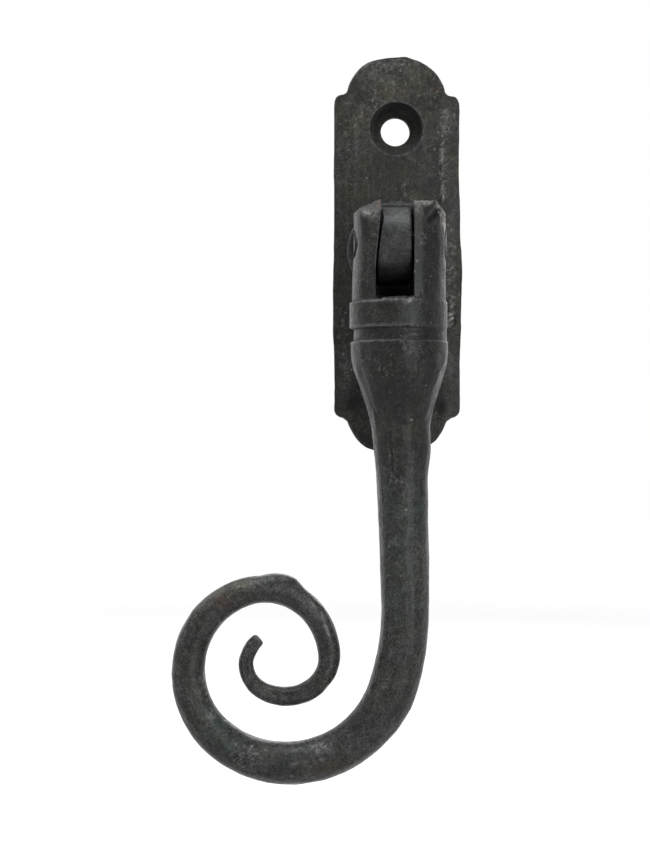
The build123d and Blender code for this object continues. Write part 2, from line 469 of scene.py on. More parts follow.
# Bare metal, and in places painted highlight
bare_and_highlight_colour = (0.42, 0.42, 0.40)
cool_tint = (0.96, 0.95, 1.08)
warm_tint = (1.03, 1.03, 0.92)
white = (1, 1, 1)
iron_bump = 0.00007
steel_bump = 0.00003


def new_material(name):
    material = bpy.data.materials.new(name)
    material.use_nodes = True
    tree = material.node_tree
    return material, tree, tree.nodes["Principled BSDF"]


def fill(tree, node, inputs):
    """Joins sockets to a node's inputs, or sets plain numbers and colours on them."""
    for name, value in inputs.items():
        target = node.inputs[name]
        if isinstance(value, bpy.types.NodeSocket):
            tree.links.new(value, target)
        elif target.type == "RGBA":
            target.default_value = (*value, 1)
        else:
            target.default_value = value


def new_node(tree, kind, inputs, **settings):
    """The outputs of a new node that has these inputs and settings."""
    node = tree.nodes.new("ShaderNode" + kind)
    for name, value in settings.items():
        setattr(node, name, value)
    fill(tree, node, inputs)
    return node.outputs


def maths(tree, operation, *values, clamp=False):
    """The values put through one operation, each with what comes of those before it."""
    result = values[0]
    for value in values[1:]:
        inputs = {0: result, 1: value}
        result = new_node(tree, "Math", inputs, operation=operation, use_clamp=clamp)[0]
    return result


def product(tree, *factors, clamp=False):
    return maths(tree, "MULTIPLY", *factors, clamp=clamp)


def total(tree, *terms, clamp=False):
    return maths(tree, "ADD", *terms, clamp=clamp)


def spread(tree, value, low, high, to_low=0.0, to_high=1.0):
    """A value between two limits, stretched to a new range and held to it."""
    limits = {"From Min": low, "From Max": high, "To Min": to_low, "To Max": to_high}
    inputs = {"Value": value, **limits}
    return new_node(tree, "MapRange", inputs, interpolation_type="SMOOTHSTEP")["Result"]


def mix_colour(tree, factor, first, second, blend="MIX"):
    inputs = {"Factor": factor, "A": first, "B": second}
    return new_node(tree, "Mix", inputs, data_type="RGBA", blend_type=blend)["Result"]


def place(tree):
    return new_node(tree, "TexCoord", {})["Object"]


def stretched(tree, where, scale):
    return new_node(tree, "VectorMath", {0: where, 1: scale}, operation="MULTIPLY")["Vector"]


def attribute(tree, name, output="Fac"):
    return new_node(tree, "Attribute", {}, attribute_name=name)[output]


def noise_node(tree, where, size, detail, rough=0.55, distortion=0.0):
    """Noise whose lumps are about one size across, in millimetres."""
    inputs = {"Vector": where, "Scale": 1000 / size, "Detail": detail, "Roughness": rough}
    inputs["Distortion"] = distortion
    return new_node(tree, "TexNoise", inputs)["Fac"]


def specks_node(tree, where, size, share):
    """Small round specks, one in each cell of one size across."""
    cells = new_node(tree, "TexVoronoi", {"Vector": where, "Scale": 1000 / size})
    return spread(tree, cells["Distance"], share, share * 0.45)


def hairs_node(tree, where, size, width):
    """Thin curling lines, as scratches and fibres leave them, in a few places only."""
    field = noise_node(tree, where, size, 2.0, 0.5, 0.5)
    off = maths(tree, "ABSOLUTE", maths(tree, "SUBTRACT", field, 0.5), 0.0)
    line = spread(tree, off, width, width * 0.4)
    patch = spread(tree, noise_node(tree, where, size * 0.9, 1.0), 0.6, 0.68)
    return product(tree, line, patch)


def relief(tree, height, strength, distance):
    inputs = {"Height": height, "Strength": strength, "Distance": distance}
    return new_node(tree, "Bump", inputs)["Normal"]


def iron(name, dark, light, specular, rough, speckle, grain_depth, tint=0.6):
    """Blackened forged iron: mottled, finely grained, with worn edges, stains and pale dust, with
    painted shade in hollows and painted highlights in places.
    """
    material, tree, shader = new_material(name)
    where = place(tree)
    clouds = noise_node(tree, where, 6.0, 3.0, 0.55, 0.3)
    warmth = noise_node(tree, where, 4.0, 3.0, 0.6, 0.4)
    patches = noise_node(tree, where, 1.9, 4.0, 0.6, 0.5)
    spots = noise_node(tree, where, 0.75, 3.0, 0.6, 0.2)
    grain = noise_node(tree, where, 0.3, 2.0, 0.6)
    drawn = stretched(tree, attribute(tree, "bar", "Vector"), (0.15, 1, 1))
    streaks = noise_node(tree, drawn, 0.8, 4.0, 0.6)

    def stained(colour, mark, field, low, high, least, stain):
        """The colour with a stain where the piece is marked, broken up by a noise; in places the
        stain is painted highlight.
        """
        broken = spread(tree, field, low, high, least)
        share = product(tree, attribute(tree, mark), broken, clamp=True)
        return mix_colour(tree, share, colour, stain)

    # Mottled ground with tones that hold painted light, and stains, the pale one in places painted
    # highlight
    colour = mix_colour(tree, spread(tree, clouds, 0.32, 0.68), dark, light)
    tinted = mix_colour(tree, spread(tree, warmth, 0.35, 0.65), cool_tint, warm_tint)
    colour = mix_colour(tree, tint, colour, tinted, "MULTIPLY")
    shade = product(
        tree,
        spread(tree, patches, 0.3, 0.7, 0.70, 1.32),
        spread(tree, spots, 0.3, 0.7, 0.68, 1.36),
        spread(tree, grain, 0.3, 0.7, 0.42, 1.68),
        spread(tree, streaks, 0.3, 0.7, 0.78, 1.24),
        total(tree, attribute(tree, "tone_and_painted_light"), 1.0),
    )
    shaded = new_node(tree, "VectorMath", {0: colour, "Scale": shade}, operation="SCALE")
    colour = stained(shaded["Vector"], "green", patches, 0.4, 0.66, 0.1, green_stain)
    colour = stained(colour, "pale_and_highlight", spots, 0.42, 0.62, 0.15, pale_and_highlight_colour)
    colour = stained(colour, "ochre", patches, 0.4, 0.62, 0.2, ochre_stain)
    colour = stained(colour, "rust", spots, 0.4, 0.6, 0.3, rust_stain)

    # Specks, dust that is in places painted highlight, hairs and pits
    crowded = spread(tree, noise_node(tree, where, 3.4, 2.0), 0.52, 0.6)
    specks = product(tree, specks_node(tree, where, 1.5, 0.10), crowded)
    dust_and_highlight_share = spread(tree, noise_node(tree, where, 2.7, 3.0, 0.6), 0.52, 0.7, 0.0, 0.6)
    dust_and_highlight_share = total(tree, attribute(tree, "dust_and_highlight"), dust_and_highlight_share)
    dust_and_highlight = product(tree, specks_node(tree, where, 0.5, 0.26), dust_and_highlight_share, clamp=True)
    hairs = product(tree, hairs_node(tree, where, 3.2, 0.011), 0.3)
    bright = maths(tree, "MAXIMUM", specks, dust_and_highlight, hairs)
    bright = product(tree, bright, speckle, clamp=True)
    colour = mix_colour(tree, bright, colour, dust_and_highlight_colour)
    pitted = spread(tree, noise_node(tree, where, 1.7, 2.0), 0.5, 0.62)
    pits = product(tree, specks_node(tree, where, 0.9, 0.2), pitted, 0.65)
    colour = mix_colour(tree, pits, colour, pit_colour)

    # Worn edges, painted shade in hollows, and bare metal that is in places painted highlight
    colour = stained(colour, "wear", spots, 0.35, 0.6, 0.2, worn_colour)
    painted_shade = attribute(tree, "painted_shade")
    colour = mix_colour(tree, painted_shade, colour, painted_shade_colour)
    colour = stained(colour, "bare_and_highlight", spots, 0.38, 0.52, 0.35, bare_and_highlight_colour)

    gloss = spread(tree, patches, 0.3, 0.7, rough - 0.07, rough + 0.09)
    gloss = total(tree, gloss, spread(tree, grain, 0.3, 0.7, -0.07, 0.07))
    gloss = total(tree, gloss, product(tree, painted_shade, 0.4), clamp=True)
    height = total(tree, grain, product(tree, spots, 1.8), product(tree, bright, 0.5))
    height = maths(tree, "SUBTRACT", height, pits)
    normal = relief(tree, height, grain_depth, iron_bump)
    inputs = {"Base Color": colour, "Roughness": gloss, "Normal": normal}
    fill(tree, shader, {**inputs, "Specular IOR Level": specular})
    return material


def steel(name, colour, rough, brush):
    """Plain or plated steel with fine drawn lines and a little tarnish."""
    material, tree, shader = new_material(name)
    where = place(tree)
    lines = noise_node(tree, stretched(tree, where, brush), 0.25, 3.0, 0.6)
    tarnish = noise_node(tree, where, 3.0, 4.0, 0.6)
    dim = tuple(c * 0.78 for c in colour)
    base = mix_colour(tree, spread(tree, tarnish, 0.35, 0.65), dim, colour)
    base = mix_colour(tree, spread(tree, lines, 0.35, 0.65, 0.0, 0.3), base, dim)
    gloss = spread(tree, tarnish, 0.3, 0.7, rough - 0.05, rough + 0.12)
    normal = relief(tree, lines, 0.25, steel_bump)
    inputs = {"Base Color": base, "Roughness": gloss, "Normal": normal}
    fill(tree, shader, {**inputs, "Metallic": 1.0})
    return material


plate_iron = iron(
    "plate_iron", (0.0190, 0.0192, 0.0163), (0.0315, 0.0315, 0.0268),
    specular=0.18, rough=0.50, speckle=0.9, grain_depth=0.8, tint=1.0,
)
handle_iron = iron(
    "handle_iron", (0.0155, 0.0158, 0.0147), (0.0255, 0.0259, 0.0242),
    specular=0.19, rough=0.34, speckle=0.85, grain_depth=0.75, tint=1.0,
)
swivel_iron = iron(
    "swivel_iron", (0.0184, 0.0190, 0.0186), (0.0268, 0.0275, 0.0270),
    specular=0.22, rough=0.38, speckle=0.25, grain_depth=0.4,
)
pin_iron = iron(
    "pin_iron", (0.014, 0.014, 0.014), (0.024, 0.0235, 0.0225),
    specular=0.18, rough=0.45, speckle=0.3, grain_depth=0.4,
)
spindle_steel = steel("spindle_steel", (0.5, 0.5, 0.49), rough=0.3, brush=(1, 0.05, 1))
pin_steel = steel("pin_steel", (0.42, 0.42, 0.41), rough=0.35, brush=(1, 1, 0.05))
spring_steel = steel("spring_steel", (0.12, 0.12, 0.125), rough=0.45, brush=(1, 1, 1))


# Handle: hammered head, vase, stem and scroll

# In this section and the next two, x, y and z are views of the points p: where they change, p does

handle = Work("monkey_tail_handle", "forged_handle", handle_voxel, 2, -pin_reach)
p = handle.points
x, y, z = p.T
along, angle, radius, tangent = bar_frame(p)

# The head's turned outline is cut again, crisply: arms, band, groove and the vase's edge
across_x = x - head_x
across_y = y + pin_reach
off_axis = np.hypot(across_x, across_y)
side_share = across_x / head_half_width
arm = arm_radius - 0.08 * ramp(side_share, -0.4, 0.4)
band = band_radius + 0.08 * ramp(-side_share, 0.3, 0.9) - 0.17 * ramp(side_share, 0.3, 0.9)
arm += (band - arm) * ramp(z, *arm_blend) * between(side_share, 0.42, 0.8, 0.05)
groove = groove_radius + 0.19 * (side_share + 1) + 0.06 * ramp(z, -14.6, -16.2)
cut = arm + (band - arm) * ramp(z, *band_edge)
cut += (groove - cut) * ramp(z, *groove_edge)
cut += (vase_radius - cut) * ramp(z, *vase_edge)
outer = (off_axis > head_core_radius) * ramp(z, *cut_bottom) * ramp(z, *cut_top)
scale = 1 + (cut / off_axis - 1) * outer
x[:] = head_x + across_x * scale
y[:] = across_y * scale - pin_reach
# The arms draw in a little towards their tops
for side_x, way, draw in ((slot_left, -1, 0.075), (slot_right, 1, 0.04)):
    beyond = np.clip(way * (x - side_x), 0, None) * (z > slot_bottom)
    x -= way * draw * beyond * ramp(z, slot_bottom, 4.0)
handle.write()

# Slow swell and shallow forging marks along the bar
ring = np.stack([np.cos(angle) * 4, np.sin(angle) * 4, along * 0.22], axis=1)
free = 1 - 0.8 * above(z, groove_bottom, 0.1)
handle.push(0.08 * layered(ring, 4.0, seed=11) * free)
handle.push(0.045 * layered(p, 2.2, seed=23) * (0.35 + 0.65 * free))
handle.write()

# Hammer blows, but not in the slot, in the pin's bore or inside the curl
normals = handle.normals
slot_side = (np.abs(normals[:, 0]) > 0.9) & (x > -4.4) & (x < 2.4) & (z > -10)
pin_bore = (np.hypot(y + pin_reach, z) < 3.0) & (np.abs(x) < 7.2)
inward = tangent[:, 2] * normals[:, 0] - tangent[:, 0] * normals[:, 2]
inside_curl = (inward > 0.35) & (z < scroll_top)
struck = np.nonzero(~(slot_side | pin_bore | inside_curl))[0]
for i in rng.choice(struck, handle_blows, replace=False):
    length, width = rng.uniform(*handle_blow_scale) * np.array(handle_blow_size)
    depth = rng.uniform(*handle_blow_depth) * (0.5 if z[i] > groove_bottom else 1.0)
    if quiet_bottom < z[i] < quiet_top:
        depth *= 0.4
    handle.blow(p[i].copy(), handle.normals[i], tangent[i], depth, length, width)

# Left arm: its hammered upper corner, the flats on its front and the wedge below the corner
arms = z > band_edge[0]
left_arm = (x < -3.0) * arms
right_arm = (x > 1.0) * arms
flattened = right_arm * (1 - ramp(z, *arm_blend) * ramp(x, 2.8, 4.0))
for centre, facing in (
    ((-5, -20.4, 5.4), (-0.53, -0.67, 0.515)),
    ((-5.9, -20.2, 0), (-0.6, -0.8, 0)),
    ((-4.4, -21.35, 0), (0.22, -0.97, 0)),
    ((-7.6, -17.3, 6), (-0.95, -0.25, 0.2)),
):
    handle.flat(centre, facing, left_arm)
handle.write()
handle.push(-0.26 * near_line(p, (-6.7, -19.9, 4.2), (-5.1, -21.0, 1.6), 0.5))
# Its inner edge leans in towards the top, with a burr bent over the tongue
inner_side = np.clip((x + 6.2) / 2.0, 0, 1) * (x < -3.6) * (z > arm_foot)
x += 0.92 * inner_side * above(-y, 18.0, 0.5) * (slot_limit(p) - tongue_left)
burr = near(p, (-3.6, -19.5, 6.1), (0.7, 1.6, 0.8))
x += 0.4 * burr
z += 0.2 * burr

# Right arm: a deep dent by its corner, a shallow channel below it and a ragged top
dent = near_line(p, (6.05, -20.2, 4.9), (4.75, -21.2, 3.5), 0.75)
p += np.array([-0.05, 1.0, -0.1]) * dent[:, None]
handle.push(-0.16 * near_line(p, (4.9, -21.3, 3.2), (4.6, -22.0, -8.0), 0.9))
handle.flat((3.2, -22.05, 0.0), (0.22, -0.97, 0.0), flattened)
handle.flat((5.2, -20.62, 0.0), (0.66, -0.75, 0.0), flattened)
softened_top = np.where(x < 0, 1.2, 2.6)
fronts = above(np.abs(x - slot_middle), 3.9, 0.1) * (-y > arm_front)
fronts *= above(softened_top - z, 0.0, 0.3) * above(z, arm_foot, 0.15)
handle.soften(fronts, 7)
handle.flat((3.5, -20.0, 6.9), (0, -0.6, 0.8), right_arm)
handle.flat((3.5, -18.0, 6.98), (0, 0, 1), right_arm)
for at_x, at_z, deep in (
    (2.9, 7.2, 0.22), (3.9, 7.2, 0.14), (4.8, 7.1, 0.24), (5.6, 6.9, 0.12), (-4.9, 6.9, 0.1),
):
    z -= deep * near(p, (at_x, -18.3, at_z), (0.35, 2.6, 0.5))
brow = between(z, 5.7, 9.0, 0.12) * between(x, 2.4, 6.2, 0.2) * between(-y, 19.0, 23.0, 0.5)
y -= 0.10 * brow * (1 + noise(p, 1.1, seed=29))
x += 0.2 * near(p, (7.2, -17.8, 4.9), (0.8, 2.4, 1.1))
# The slot's lower edge climbs to the right
slot_floor = between(x, -4.3, 2.3, 0.05) * between(z, -9.8, -9.1, 0.08)
z += 0.34 * slot_floor * np.clip((x + 4.0) / 6.0, 0, 1) * (-y > 8)
handle.write()

# Nicks where the band meets the arms, the lens in the groove, pits and fine cold creases
for at_x, at_z, deep in (
    (1.1, -9.5, 0.2), (2.3, -9.7, 0.22), (2.9, -9.9, 0.14), (-2.6, -9.9, 0.1), (-6.2, -9.9, 0.08),
):
    handle.push(-deep * near(p, (at_x, -22.9, at_z), (0.32, 1.2, 0.22)))
handle.dent((2.2, -15.4), (1.9, 0.42), -0.16)
for at_x, at_z, deep, wide in (
    (-5.6, -19.6, 0.14, 0.35), (-4.6, -19.4, 0.12, 0.3), (-3.6, -20.6, 0.16, 0.45),
    (-2.4, -21.3, 0.15, 0.4), (-1.7, -22.4, 0.12, 0.35), (-0.9, -23.4, 0.1, 0.3),
    (2.2, -29.5, 0.12, 0.3), (0, -38.4, 0.16, 0.45), (3.2, -37.4, 0.14, 0.5),
    (0.1, -43, 0.12, 0.3), (3.5, -39, 0.12, 0.35), (-31.8, -73, 0.12, 0.4),
    (-29.5, -80, 0.12, 0.35), (-24.9, -84.9, 0.12, 0.3), (-23, -86.9, 0.1, 0.3),
    (-18.3, -88, 0.12, 0.35), (-13.2, -85.5, 0.1, 0.4), (-26.1, -70.2, 0.14, 0.3),
    (-25.9, -67.6, 0.12, 0.3), (-20.3, -56.5, 0.22, 0.5),
):
    handle.dent((at_x, at_z), wide, deep)
creases = (
    ((-1.85, -31.6), (-1.5, -35.2)), ((-1.5, -35.2), (-1.4, -37.8)),
    ((-1.4, -37.8), (-0.4, -39.2)), ((3.3, -39.6), (3.5, -42.2)),
)
for start, end in creases:
    handle.line(start, end, 0.22, 0.2)

# The bent-over lump on the outside of the scroll's top
from_axis = y + pin_reach
fold = ramp(x, -24.0, -20.4) * ramp(x, -15.6, -17.8) * (z > -59.0) * (np.abs(from_axis) < 3.4)
fold *= ramp(z, -58.8, -57.2) * (1 - (from_axis / 3.6) ** 2).clip(0)
z += (0.66 + 0.22 * ramp(x, -20.6, -18.4)) * fold
handle.write()

# Small corrections of the scroll's run and thickness, as it was bent by hand
handle.nudge((
    (-19.3, -76, 7, 3.5, 0, 0.27), (-15.5, -62.5, 3.5, 4, 0.08, 0.08),
    (-26.2, -65.8, 1.6, 2.2, -0.12, 0.08), (-12.2, -73.8, 2.5, 2.5, -0.1, 0.1),
    (-11.6, -68, 2.5, 4, 0.14, 0), (-37.2, -74, 4, 9, 0.12, 0), (-32.7, -83, 6, 5, 0.08, 0.08),
    (-19, -88, 9, 5, 0, 0.05),
))
handle.swell((
    (-19.3, -83.6, 9, 3, 0, 1, 0.36), (-28, -80.5, 4, 3, 0.7, 0.7, 0.12),
    (-11.5, -80.6, 5, 3, -0.5, 0.85, 0.12), (-20.5, -73.6, 5, 2.5, 0.2, 0.95, 0.12),
    (1.6, -77.2, 5, 8, 0.8, -0.6, 0.34), (-6.2, -71.6, 4, 7, -0.8, 0.6, 0.2),
    (-34, -60.5, 5, 5, -0.75, 0.65, 0.08), (4.7, -34.9, 1.4, 2.4, 1, 0, 0.26),
    (7.6, 0.4, 2.5, 2.6, 1, 0, 0.26), (-26.3, -66.4, 1.6, 2.6, -0.8, 0.5, 0.14),
    (4.4, -63, 2, 4, 1, 0, -0.12),
))
handle.write()
handle.push(0.018 * noise(p, 0.8, seed=91) + 0.008 * noise(p, 0.45, seed=92))
# Nothing of the left arm may touch the tongue, at rest or as the handle lifts
beside_slot = (np.abs(x + 3.5) < 1.5) & (z > quiet_top)
x[:] = np.where(beside_slot, np.minimum(x, slot_limit(p) - arm_clearance), x)
handle.write()

# The handle's wear and stains, painted shade in its hollows, dents and creases, painted highlight
# on its arm tops, and its tones with painted shade and highlight
wear, painted_shade = handle.edge_marks(6, 14.0)
handle.marks["wear"] = wear * (1 - 0.75 * ramp(x, 2.6, 3.4) * between(z, -14.6, -9.0, 0.1))
# Painted shade in the handle's hollows, from how its surface curves, in a dent of the scroll, in
# the right arm's dent, along the left arm's wedge and in the creases
handle.marks["painted_shade"] = 0.7 * painted_shade
handle.mark("painted_shade", ((-20.3, -56.5, 0.5, 0.4, 0.6),))
handle.mark_line("painted_shade", (6.0, 4.9), (4.8, 3.6), 0.55, 0.8)
handle.mark_line("painted_shade", (-6.5, 4.4), (-5.2, 1.4), 0.38, 0.65)
for start, end in creases:
    handle.mark_line("painted_shade", start, end, 0.26, 0.6)
handle.lay("rust", near(p, (-3.3, -20.0, 6.2), (0.8, 2.6, 0.7)))
handle.lay("rust", near(p, (7.2, -18.5, 4.3), (0.6, 3.0, 1.4)))
handle.mark("rust", ((-29.8, -59.8, 2.0, 1.1, 0.5), (-11.0, -87.5, 6.0, 1.5, 0.25)))
handle.mark("green", (
    (3, -45, 3.6, 5, 0.8), (-1.5, -43.5, 1.6, 3, 0.5), (0.5, -56, 3, 10, 0.4),
    (-30.6, -79.5, 2.6, 3.6, 0.9), (-28.6, -83.6, 2, 1.8, 0.7), (2.9, -7.2, 1.2, 1.8, 0.7),
    (2, -12, 2.2, 1.6, 0.35), (-18, -86.5, 3, 1.2, 0.4),
))
# Pale on the tops of both arms is painted highlight; the rest are pale stains
handle.mark("pale_and_highlight", (
    (-33, -73.8, 0.3, 2, 0.7), (-31.9, -79, 0.7, 1, 0.8), (-13.4, -84.4, 2, 0.8, 0.8),
    (1.8, -29.6, 0.3, 0.25, 0.9), (1, -44.7, 0.35, 0.15, 0.9), (-1.6, -39.8, 0.2, 0.2, 0.6),
    (0.1, -40, 0.3, 0.15, 0.5), (-5.2, -19.5, 0.5, 0.13, 0.8), (-5.4, 4.8, 1.1, 0.7, 1),
    (-4.5, 4.2, 0.7, 0.9, 0.6), (-7.4, 4.6, 0.25, 1, 0.6), (2.9, 6.5, 0.9, 0.5, 0.9),
    (4.3, 6.5, 0.9, 0.4, 0.9), (2.7, 5, 0.4, 0.5, 0.8), (6.3, 5.9, 0.5, 0.35, 1),
    (7, 4.6, 0.3, 1.2, 0.6), (1.5, -3.6, 0.2, 0.2, 0.9), (2.2, -8.8, 0.2, 0.2, 0.8),
    (1.2, -10, 0.9, 0.2, 0.7), (-21.2, -56, 0.5, 0.3, 0.6), (-26, -57.2, 1.6, 0.8, 0.4),
))
handle.mark("ochre", (
    (3.6, 6.7, 1.8, 0.4, 0.6), (-26.4, -57.2, 2.6, 1, 0.8),
    (-30.5, -58.6, 1.6, 1, 0.5), (0, -31.5, 3, 2.5, 0.3),
))
# Bare metal on the arm tops is painted highlight; elsewhere these are bare specks and nicks
handle.mark("bare_and_highlight", (
    (2.6, -3.4, 0.13, 0.13, 0.9), (2.1, -5, 0.12, 0.2, 0.6), (1.4, -9.8, 0.25, 0.12, 0.7),
    (2.3, -9.7, 0.13, 0.13, 0.6), (0.6, -10.3, 0.4, 0.1, 0.5), (-1.7, -39.7, 0.11, 0.11, 0.5),
    (0, -39.9, 0.11, 0.11, 0.4), (0.9, -44.5, 0.18, 0.12, 0.7), (1.8, -29.5, 0.11, 0.11, 0.5),
    (-24.9, -84.1, 0.14, 0.14, 0.8), (-24.2, -85.3, 0.16, 0.14, 0.8),
    (-25, -87.6, 0.14, 0.14, 0.7), (-18.2, -89, 0.16, 0.14, 0.7), (6.2, 5.95, 0.3, 0.18, 0.6),
    (-5.6, 4.7, 0.8, 0.5, 0.3), (-4.5, 4.5, 0.5, 0.7, 0.2), (6.9, 3.2, 0.2, 0.4, 0.5),
    (6.8, 5, 0.15, 0.3, 0.5), (2.9, 6.6, 0.9, 0.5, 0.22), (4.4, 6.7, 0.9, 0.4, 0.22),
    (2.75, 5, 0.4, 0.8, 0.22), (7.1, 4.4, 0.2, 1, 0.15),
))
# The specks on the arm tops are partly painted glints; the others are bare specks
handle.sprinkle((
    (26, (2.4, 6.6), (5.2, 6.7), 0.25, 0.5), (12, (6.2, 5.8), (7.2, 3.2), 0.2, 0.8),
    (8, (3.6, -0.2), (5.6, 2.6), 0.5, 0.3), (10, (0.4, -10), (2.6, -9.8), 0.15, 0.6),
    (30, (-14.8, -84.6), (-12, -83.8), 0.5, 0.35), (34, (-28.4, -84), (-23.2, -86.6), 0.9, 0.45),
    (24, (-33, -72), (-31, -79.5), 0.5, 0.4), (26, (-28.5, -58.2), (-24, -57.2), 0.5, 0.3),
    (16, (-26.4, -71), (-25.6, -66), 0.35, 0.35), (14, (-5.4, -19), (-2, -22), 0.8, 0.3),
    (18, (0.5, -17.5), (3, -22), 0.9, 0.2), (16, (-3, -46), (0, -58), 0.7, 0.35),
    (10, (-1.8, -39.2), (0.2, -39.8), 0.3, 0.4),
))
for start, end, strength in (
    ((-15.5, -59.5), (-14, -61.1), 0.32), ((-16.2, -59), (-14.9, -60.2), 0.2),
    ((-13.2, -61.8), (-12.8, -63), 0.28), ((-12.7, -63.6), (-11.9, -65.7), 0.34),
    ((-32.9, -71.6), (-32.9, -73.2), 0.3),
):
    handle.mark_line("bare_and_highlight", start, end, 0.17, strength)
handle.mark_line("pale_and_highlight", (-18.1, -86.9), (-12.7, -86.2), 0.22, 0.8)
handle.mark_line("pale_and_highlight", (-18.0, -84.8), (-16.6, -84.7), 0.2, 0.7)
handle.mark("dust_and_highlight", (
    (-25.8, -86, 2.6, 1.8, 0.9), (-13.2, -84.6, 2.4, 1.2, 0.7), (-31.6, -78, 1.4, 3, 0.7),
    (-25.6, -57, 3, 1.6, 0.7), (-26, -68, 1.2, 3, 0.6), (-3, -21, 2, 2.2, 0.35),
    (2.8, -19.6, 2.4, 2.4, 0.3), (-20, -72.5, 6, 3, 0.3), (4, -41, 1.5, 3, 0.3),
    (-18, -72, 22, 12, 0.5), (5, -3, 2, 6, 0.4),
))
# Darker over the head and vase than lower down
tone_and_painted_light = -0.28 + 0.60 * ramp(z, -32.0, -46.0) - 0.05 * ramp(z, -58.0, -68.0)
# Painted shade on the right side of the head, from the groove up
tone_and_painted_light -= 0.25 * ramp(x, 3.2, 4.2) * ramp(z, -16.0, -13.0)
# Painted shade on the narrowing lower part of the vase
tone_and_painted_light -= 0.27 * between(z, -34.5, -24.0, 1.5)
# Painted light: the left arm a little lighter, and the right arm darker as painted shade
tone_and_painted_light += 0.05 * left_arm - 0.27 * right_arm
# Painted shade in the groove under the band, deepest at the right
tone_and_painted_light -= (0.15 + 0.35 * ramp(x, 2.5, 4.0)) * between(z, -16.3, -14.2, 0.06)
view = handle.front_view()
# Darker patches, and one lighter: X, Z, half width, half height and how much darker
for at_x, at_z, wide, tall, dark in (
    (-3.3, -22.5, 2, 3.5, 0.25), (-4.4, -27, 1, 2, 0.2), (5.6, -22, 1, 4, 0.25),
    (-33.2, -66.6, 1, 2.8, 0.4), (-19, -88, 4, 1.2, 0.25), (-8, -80, 3, 2, 0.15),
    (-2, -75, 6, 6, 0.26), (-15, -73, 5, 7, 0.1), (2, -60, 4, 6, -0.1),
    (-25.7, -71.5, 1.6, 3, 0.15), (-12.4, -66.6, 2.2, 5, 0.12), (-5, -79.5, 5, 3, 0.08),
):
    tone_and_painted_light -= dark * near(view, (at_x, at_z), (wide, tall))
# Painted shade along the left arm's wedge, and a painted highlight on the strip inside it
tone_and_painted_light -= 0.5 * near_line(view, (-6.4, 3.4), (-5.7, 1.2), 0.5) * (-y > arm_face)
tone_and_painted_light += 0.25 * near_line(view, (-4.9, 3.4), (-4.5, 0.5), 0.5) * (-y > arm_face)
handle.marks["tone_and_painted_light"] = tone_and_painted_light + 0.1 * noise(p, 7.0, seed=95)
handle.finish((along, angle * radius, radius), "lever", handle_iron)


# Backplate: uneven hammered face, ragged edges, a bulge and a gouge at the right

plate = Work("backplate", "forged_backplate", plate_voxel, 1, plate_front)
p = plate.points
x, y, z = p.T
first_normals = plate.normals
facing_y = first_normals[:, 1]
is_front = plate.on_front(facing_y < -0.3)
is_back = y > plate_back
middle_off = np.hypot(x, z)
hole_off = np.minimum(np.hypot(x, z - hole_height), np.hypot(x, z + hole_height))
clear = above(middle_off, boss_off, 0.25) * above(hole_off, hole_off_limit, 0.15)
relief_map = 0.07 * layered(p, 4.0, seed=41) + 0.03 * layered(p, 1.3, seed=47) - 0.05
plate.push(is_front * clear * relief_map)
edges = (np.abs(facing_y) < 0.6) * clear * (hole_off > sink_edge[0]) * (middle_off > 9.9)
flattened_y = np.stack([x, y * 0.4, z], axis=1)
ragged = 0.10 * layered(flattened_y, 5.0, seed=53) + 0.04 * noise(flattened_y, 1.3, seed=59)
plate.push(edges * ragged)
plate.write()
struck = np.nonzero(is_front & (clear > 0.8) & (middle_off > 11))[0]
for i in rng.choice(struck, plate_blows, replace=False):
    length, width = rng.uniform(*plate_blow_scale) * np.array(plate_blow_size)
    turn = rng.uniform(-plate_blow_turn, plate_blow_turn)
    depth = rng.uniform(*plate_blow_depth)
    heading = unit(math.sin(turn), 0, math.cos(turn))
    plate.blow(p[i].copy(), first_normals[i], heading, depth, length, width)

# Ends worn down, and long edges that wander
crown = np.clip((z - 30.0) / 4.0, 0, 1) + np.clip((-31.0 - z) / 4.0, 0, 1)
y += 0.35 * crown**2 * is_front
right_bulge = between(z, -14.0, 2.0, 1.0) * ramp(x, plate_flat_end, plate_side)
x += 0.36 * right_bulge * (0.8 + 0.2 * noise(p, 1.5, seed=61))
for bottom, top, way, move in (
    (9.5, 22, 1, -0.14), (-14, -3, -1, -0.15), (-27, -21, -1, 0.12),
):
    at_side = ramp(x, way * plate_flat_end, way * plate_side)
    x += move * between(z, bottom, top, 1.0) * at_side
x -= 0.18 * ramp(z, 26.0, 28.5)
plate.nudge((
    (-9.6, 27.4, 1.8, 0.9, 0, 0.26), (10.9, 26.6, 0.7, 0.9, -0.12, -0.05),
    (-8.9, -29, 0.9, 0.8, 0, -0.3), (8.9, -29, 1, 0.8, 0, -0.34), (-6.5, -33, 2.5, 2, -0.1, -0.1),
    (6.5, -33, 2.5, 2, 0.1, -0.08),
))
plate.swell((
    (-5.2, 32.6, 3, 2, -0.5, 0.86, 0.3), (4, 33.4, 3, 1.5, 0.3, 0.95, 0.12),
    (-9.5, -29.4, 1.6, 1.4, -0.6, -0.8, 0.3), (9.5, -29.2, 1.6, 1.3, 0.5, -0.85, 0.3),
    (-5.2, -34, 2, 1.4, -0.6, -0.8, 0.16), (10.7, 5.9, 1, 2.4, 1, 0, 0.14),
    (10.9, -4.1, 1, 4.5, 1, 0, 0.14), (10.7, -15.4, 1, 2.2, 1, 0, 0.14),
    (-10.9, -14, 1, 2, -1, 0, 0.12),
))
z += 0.26 * near(p, (1.5, -2.5, 33.9), (1.1, 3.0, 0.7))
